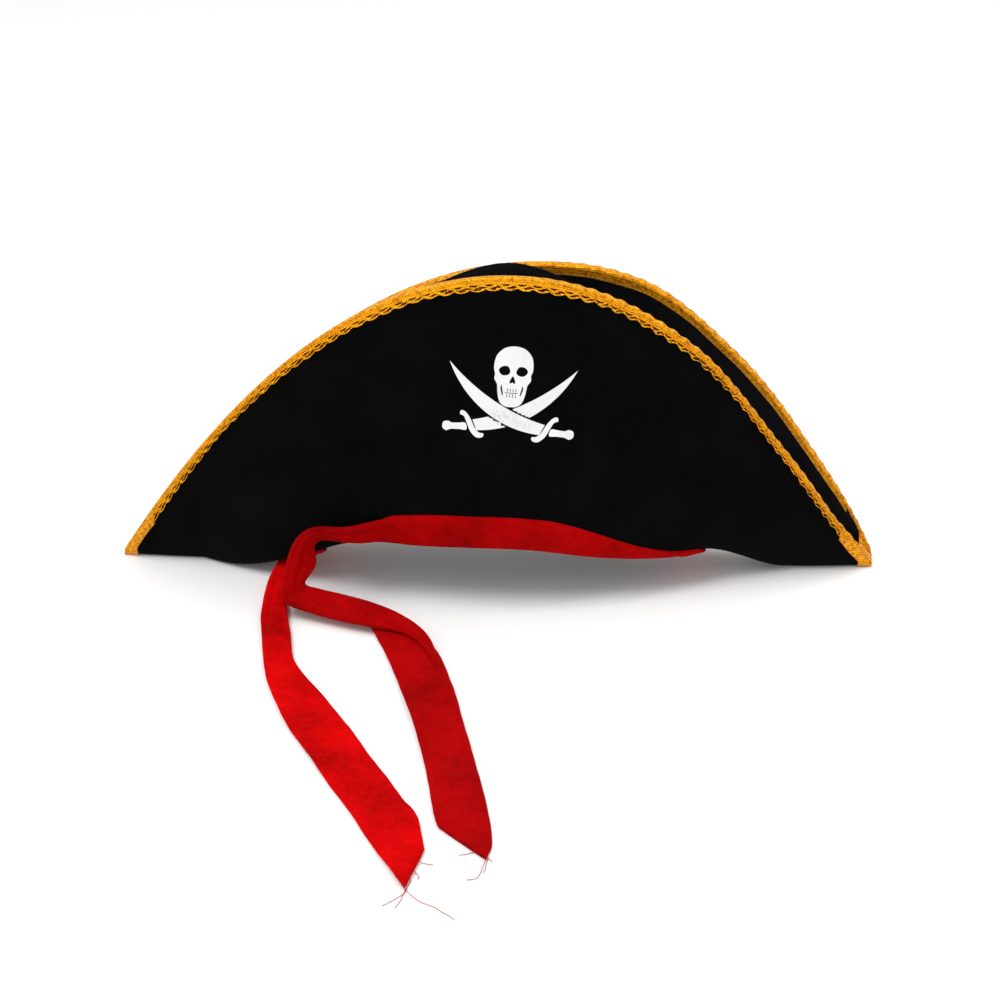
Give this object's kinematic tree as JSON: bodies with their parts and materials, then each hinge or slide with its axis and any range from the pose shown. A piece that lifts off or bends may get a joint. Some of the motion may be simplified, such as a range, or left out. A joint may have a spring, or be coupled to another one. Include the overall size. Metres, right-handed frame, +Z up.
{
  "type": "pirate hat",
  "caption": "Black felt bicorne with gold-trimmed crescent brims, a printed skull and crossed sabres, and a red fleece headband whose knotted tails lie in front.",
  "frame": {"origin": "middle of the head opening, 40 mm above the table that the hat stands on", "axes": "+X from the left tip to the right tip as the front is seen, -Y towards the front, +Z up through the crown"},
  "size_m": [0.5004, 0.4176, 0.2219],
  "materials": {
    "black_felt": "deep black brushed felt",
    "black_lining": "dark grey-black flat felt",
    "interlining": "stiff pressed interlining",
    "gold_braid": "metallic-yarn gimp braid",
    "gold_tape": "metallic woven tape",
    "white_print": "matt heat-transfer film",
    "red_fleece": "brushed red fleece",
    "black_thread": "spun thread"
  },
  "bodies": {
    "hat": {"crown_front": "black_felt", "crown_back": "black_felt", "sweatband": "black_lining", "front_brim_felt": "black_felt", "back_brim_felt": "black_felt", "front_brim_stiffener": "interlining", "back_brim_stiffener": "interlining", "front_brim_lining": "black_lining", "back_brim_lining": "black_lining", "left_wing_gusset": "black_felt", "right_wing_gusset": "black_felt", "front_gimp_braid": "gold_braid", "back_gimp_braid": "gold_braid", "front_edge_binding": "gold_tape", "back_edge_binding": "gold_tape", "front_inner_tape": "gold_tape", "back_inner_tape": "gold_tape", "left_tip_wrap": "gold_tape", "right_tip_wrap": "gold_tape", "skull_print": "white_print", "upper_sabre_print": "white_print", "lower_sabre_print": "white_print", "headband_front": "red_fleece", "headband_back": "red_fleece", "headband_left_pass": "red_fleece", "headband_right_pass": "red_fleece", "headband_knot": "red_fleece", "left_tail_root": "red_fleece", "right_tail_root": "red_fleece", "front_tack_stitches": "black_thread", "back_tack_stitches": "black_thread"},
    "left_tail_end": {"left_tail": "red_fleece"},
    "right_tail_end": {"right_tail": "red_fleece"}
  },
  "joints": [
    {"name": "left_tail_swing", "type": "hinge", "parent": "hat", "child": "left_tail_end", "pos_m": [-0.137, -0.098, -0.0388], "axis": [0, 0, 1], "range_deg": [-30, 0]},
    {"name": "right_tail_swing", "type": "hinge", "parent": "hat", "child": "right_tail_end", "pos_m": [-0.057, -0.103, -0.0388], "axis": [0, 0, 1], "range_deg": [0, 30]}
  ]
}
